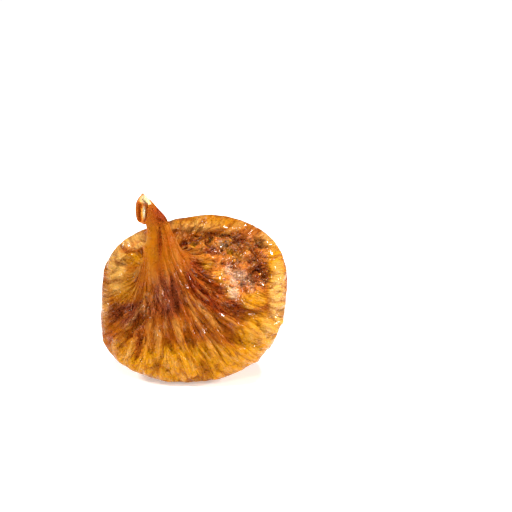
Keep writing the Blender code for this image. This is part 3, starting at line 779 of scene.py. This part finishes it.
def figSkinMaterial():
    look = skinFinish
    material = bpy.data.materials.new("figSkin")
    material.use_nodes = True
    tree = material.node_tree
    surface = tree.nodes["Principled BSDF"]

    def mark(name):
        return add(tree, "ShaderNodeAttribute", attribute_name=name).outputs["Fac"]

    def weighed(value, weight, rest):
        return sums(tree, "MULTIPLY_ADD", value, weight, rest)

    def spots(size, detail):
        return cloud(tree, scaled(tree, place, size), 1.0, detail).outputs[0]

    def paintCreaseShade(colour, share):  # painted shade: the crease colour multiplies the skin's colour in a crease
        return tint(tree, share, colour, skinColours["crease"], "MULTIPLY")

    place = add(tree, "ShaderNodeTexCoord").outputs["Object"]
    ribPlace = add(tree, "ShaderNodeAttribute", attribute_name="ribPlace").outputs["Vector"]
    blotch, patchy = spots(look["blotches"], 3.0), spots(look["smallBlotches"], 3.0)
    hollow, neck, rim = mark("hollow"), mark("neck"), mark("rim")
    puff, finePuff = mark("puff"), mark("finePuff")
    worn = sums(tree, "MINIMUM", sums(tree, "ADD", mark("plum"), mark("rust")), 1.0)
    skinOnly = sums(tree, "SUBTRACT", 1.0, neck)

    colour = tint(tree, ease(tree, blotch, *look["ground"]), skinColours["amber"], skinColours["honey"])
    colour = tint(tree, times(tree, hollow, look["hollowTint"]), colour, skinColours["pit"])
    for name, (low, high, strength) in look["paint"].items():
        share = mark(name)
        for spot, shift in zip((blotch, patchy), look["ragged"]):
            share = weighed(sums(tree, "SUBTRACT", spot, 0.5), shift, share)
        share = times(tree, ease(tree, share, low, high), strength)
        colour = tint(tree, share, colour, skinColours[name])

    deep = weighed(hollow, look["creaseHollow"], weighed(rim, look["creaseRim"], look["creaseDark"]))
    # painted shade in the rib and fine rib creases
    colour = paintCreaseShade(colour, times(tree, ease(tree, puff, *look["creases"]), deep, skinOnly))
    colour = paintCreaseShade(colour, times(tree, ease(tree, finePuff, *look["fineCreases"]), skinOnly))
    # painted highlights: the tops of the ribs and fine ribs turn pale
    paleness = weighed(hollow, look["ridgeHollow"], look["ridgePale"])
    raised = times(tree, ease(tree, puff, *look["ridges"]), paleness)
    fineRaised = times(tree, ease(tree, finePuff, *look["fineRidges"]), skinOnly)
    for share in (raised, fineRaised):
        colour = tint(tree, share, colour, skinColours["pale"])
    # painted glow: the folds' creases turn towards the brighter deep orange, lifting their shade
    colour = tint(tree, ease(tree, mark("folds"), *look["foldGlow"]), colour, skinColours["deep"])

    lined = ease(tree, neck, *look["neckLines"])
    lined = weighed(lined, weighed(worn, *look["wornLines"]), times(tree, worn, neck, look["wornNeck"]))
    rough = weighed(worn, look["wornGrains"], times(tree, hollow, look["hollowGrains"]))
    rough = sums(tree, "ADD", rough, ease(tree, neck, *look["grains"]))
    grain = add(tree, "ShaderNodeGroup", node_tree=grainTree())
    for name, value in (("Rib Place", ribPlace), ("Place", place), ("Girth", mark("girth")),
                        ("Lines", lined), ("Grains", rough)):
        feed(tree, grain.inputs[name], value)
    crease, ridge = grain.outputs["Crease"], grain.outputs["Ridge"]
    # painted shade in the fine lines' creases
    colour = paintCreaseShade(colour, times(tree, crease, look["lineDark"]))
    # painted highlights on the fine lines' ridges
    colour = tint(tree, times(tree, ridge, look["linePale"]), colour, skinColours["pale"])

    flesh = tint(tree, mark("glow"), skinColours["lip"], skinColours["glow"])
    flesh = tint(tree, mark("cream"), flesh, skinColours["cream"])
    colour = tint(tree, mark("cut"), colour, flesh)
    feed(tree, surface.inputs["Base Color"], colour)
    feed(tree, surface.inputs["Roughness"], ease(tree, patchy, *look["roughness"]))

    wettest = sums(tree, "ADD", weighed(worn, *look["wetWorn"]), times(tree, rim, look["wetRim"]))
    wet = weighed(ease(tree, spots(look["wetSpots"], 2.0), *look["wetRange"]), wettest, hollow)
    wet = times(tree, wet, ease(tree, puff, *look["dryCreases"]),
                ease(tree, finePuff, *look["dryFineCreases"]),
                weighed(crease, look["dryLines"], 1.0), ease(tree, neck, *look["dryNeck"]))
    feed(tree, surface.inputs["Coat Weight"], wet)
    setSockets(surface, look["surface"])
    bump = {"Height": grain.outputs[0], "Distance": look["bump"], "Strength": 1.0}
    feed(tree, surface.inputs["Normal"], add(tree, "ShaderNodeBump", bump).outputs[0])
    return material


# Seeds that lie in the crumpled hollow, scattered by a Geometry Nodes tree over the finished skin

seedValues = {
    "inputs": {  # sizes in metres, density to the square metre
        "Spacing": 0.0016, "Density": 360000.0, "Length": 0.00075, "Width": 0.00055,
        "Sink": 0.00015, "Seed": 4,
    },
    "surface": {
        "Roughness": 0.22,
        "Subsurface Weight": 0.3, "Subsurface Radius": (1.0, 0.5, 0.15), "Subsurface Scale": 0.0006,
    },
    "clumps": 300.0, "clumpRange": (0.48, 0.62), "inHollow": (0.6, 0.95),
    "turn": (0.5, 0.5, 6.28), "sizes": (0.55, 1.15),  # most turn about each axis, least and most size
    "shades": 500.0, "shadeRange": (0.4, 0.6), "light": rgb(196, 122, 10), "dark": rgb(140, 56, 10),
    "bump": 0.0002, "bumpStrength": 0.6,
}


def seedTree(material):
    look = seedValues
    kinds = {"Seed": "NodeSocketInt"}
    ins = [("Geometry", "NodeSocketGeometry", None)]
    ins += [(name, kinds.get(name, "NodeSocketFloat"), value) for name, value in look["inputs"].items()]
    tree, given, out = newTree("hollowSeeds", "GeometryNodeTree", ins, [("Geometry", "NodeSocketGeometry")])
    tree.is_modifier = True
    place = add(tree, "GeometryNodeInputPosition").outputs[0]
    clumps = cloud(tree, scaled(tree, place, look["clumps"]), 1.0, 0.0).outputs[0]
    where = times(tree, ease(tree, kept(tree, "hollow"), *look["inHollow"]),
                  ease(tree, clumps, *look["clumpRange"]))
    scatter = add(tree, "GeometryNodeDistributePointsOnFaces",
                  {"Mesh": given["Geometry"], "Distance Min": given["Spacing"],
                   "Density Max": given["Density"], "Density Factor": where, "Seed": given["Seed"]},
                  distribute_method="POISSON")
    ball = add(tree, "GeometryNodeMeshIcoSphere", {"Radius": 1.0, "Subdivisions": 2}).outputs[0]
    size = {0: given["Width"], 1: given["Length"], 2: given["Width"]}
    size = add(tree, "ShaderNodeCombineXYZ", size).outputs[0]
    oval = add(tree, "GeometryNodeTransform", {"Geometry": ball, "Scale": size}).outputs[0]
    turn = add(tree, "FunctionNodeRandomValue", {"Max": look["turn"], "Seed": given["Seed"]},
               data_type="FLOAT_VECTOR").outputs[0]
    least, most = look["sizes"]
    grow = add(tree, "FunctionNodeRandomValue", {"Min": least, "Max": most, "Seed": given["Seed"]},
               data_type="FLOAT").outputs[1]
    turn = add(tree, "FunctionNodeEulerToRotation", {0: turn}).outputs[0]
    turned = add(tree, "FunctionNodeRotateRotation",
                 {"Rotation": scatter.outputs["Rotation"], "Rotate By": turn}, rotation_space="LOCAL")
    sunk = scaled(tree, scatter.outputs["Normal"], sums(tree, "MULTIPLY", given["Sink"], -1.0))
    points = {"Geometry": scatter.outputs["Points"], "Offset": sunk}
    points = add(tree, "GeometryNodeSetPosition", points).outputs[0]
    seeds = add(tree, "GeometryNodeInstanceOnPoints",
                {"Points": points, "Instance": oval, "Rotation": turned.outputs[0], "Scale": grow})
    seeds = add(tree, "GeometryNodeRealizeInstances", {"Geometry": seeds.outputs[0]}).outputs[0]
    seeds = add(tree, "GeometryNodeSetShadeSmooth", {"Geometry": seeds}).outputs[0]
    seeds = add(tree, "GeometryNodeSetMaterial", {"Geometry": seeds, "Material": material}).outputs[0]
    feed(tree, out[0], seeds)
    return tree


def seedMaterial():
    look = seedValues
    material = bpy.data.materials.new("figSeeds")
    material.use_nodes = True
    tree = material.node_tree
    surface = tree.nodes["Principled BSDF"]
    place = add(tree, "ShaderNodeTexCoord").outputs["Object"]
    shade = cloud(tree, scaled(tree, place, look["shades"]), 1.0, 1.0).outputs[0]
    shade = ease(tree, shade, *look["shadeRange"])
    feed(tree, surface.inputs["Base Color"], tint(tree, shade, look["light"], look["dark"]))
    setSockets(surface, look["surface"])
    grains = bpy.data.node_groups["skinGrain"]
    grain = add(tree, "ShaderNodeGroup", {"Place": place, "Lines": 0.0}, node_tree=grains)
    bump = {"Height": grain.outputs[0], "Distance": look["bump"], "Strength": look["bumpStrength"]}
    feed(tree, surface.inputs["Normal"], add(tree, "ShaderNodeBump", bump).outputs[0])
    return material


# The fruit

skin = figSkinMaterial()
fig = baked("figSkin", figBase(), reliefTree(skin), skinRelief["inputs"])
seeds = baked("hollowSeeds", fig.data.copy(), seedTree(seedMaterial()), seedValues["inputs"])
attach(fig, "root")
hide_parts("fig")
print("fig skin:", len(fig.data.polygons), "faces")
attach(seeds, "root")
print("seeds in the hollow:", len(seeds.data.polygons), "faces")


# Floor, light and camera

studio = {
    "floor": rgb(250, 248, 246), "floorHalf": 3.0, "floorRoughness": 0.6, "sky": 0.15,
    "glowReach": (0.03, 0.12), "floorGlow": (0.44, 0.68),  # the floor glows as a light, less near the fruit, which paints a shadow round it
    "top": ((0.20, 0.0, 0.58), 0.10, 5.1), "left": ((-0.46, -0.14, 0.40), 0.11, 3.1),
    "right": ((0.46, -0.06, 0.22), 0.08, 2.0), "front": ((-0.06, -0.62, 0.48), 0.13, 1.7),
    "lampAim": (0, 0, 0.02),
    "pixels": 512, "pixelsPerMm": 3.76, "distance": 0.6, "aim": (0.01676, 0.0, 0.0328),
}


def buildStudio():
    mesh = bpy.data.meshes.new("floor")
    half = studio["floorHalf"]
    corners = [(-half, -half, 0), (half, -half, 0), (half, half, 0), (-half, half, 0)]
    mesh.from_pydata(corners, [], [(0, 1, 2, 3)])
    floor = bpy.data.objects.new("floor", mesh)
    bpy.context.scene.collection.objects.link(floor)
    material = bpy.data.materials.new("paleFloor")
    material.use_nodes = True
    tree = material.node_tree
    surface = tree.nodes["Principled BSDF"]
    setSockets(surface, {"Base Color": studio["floor"], "Emission Color": studio["floor"],
                         "Roughness": studio["floorRoughness"]})
    # painted shadow: the floor's glow is weaker near the fruit; the glowing floor also lights the fruit from
    # below
    place = add(tree, "ShaderNodeTexCoord").outputs["Object"]
    away = add(tree, "ShaderNodeVectorMath", {0: place}, operation="LENGTH").outputs["Value"]
    glow = ease(tree, away, *studio["glowReach"], *studio["floorGlow"])
    feed(tree, surface.inputs["Emission Strength"], glow)
    mesh.materials.append(material)
    world = bpy.data.worlds.new("studio")
    bpy.context.scene.world = world
    world.use_nodes = True
    world.node_tree.nodes["Background"].inputs[0].default_value = (1, 1, 1, 1)
    world.node_tree.nodes["Background"].inputs[1].default_value = studio["sky"]
    for name in ("top", "left", "right", "front"):
        place, size, power = studio[name]
        lamp = bpy.data.lights.new(name, "AREA")
        lamp.energy, lamp.size = power, size
        lit = bpy.data.objects.new(name, lamp)
        lit.location = place
        lit.rotation_euler = (Vector(place) - Vector(studio["lampAim"])).to_track_quat("Z", "Y").to_euler()
        bpy.context.scene.collection.objects.link(lit)


def buildCamera():
    camera = bpy.data.objects.new("camera", bpy.data.cameras.new("camera"))
    distance = studio["distance"]
    view = studio["pixels"] / studio["pixelsPerMm"] * mm
    camera.data.lens = camera.data.sensor_width * distance / view
    target = Vector(studio["aim"]) + Vector((*centreShift, 0)) * mm
    away = Vector((0, -math.cos(lookDown), math.sin(lookDown)))
    camera.location = target + away * distance
    camera.rotation_euler = away.to_track_quat("Z", "Y").to_euler()
    camera.data.clip_start = 0.01
    bpy.context.scene.collection.objects.link(camera)
    bpy.context.scene.camera = camera
    bpy.context.scene.view_settings.view_transform = "Standard"


buildStudio()
buildCamera()
print("studio built")
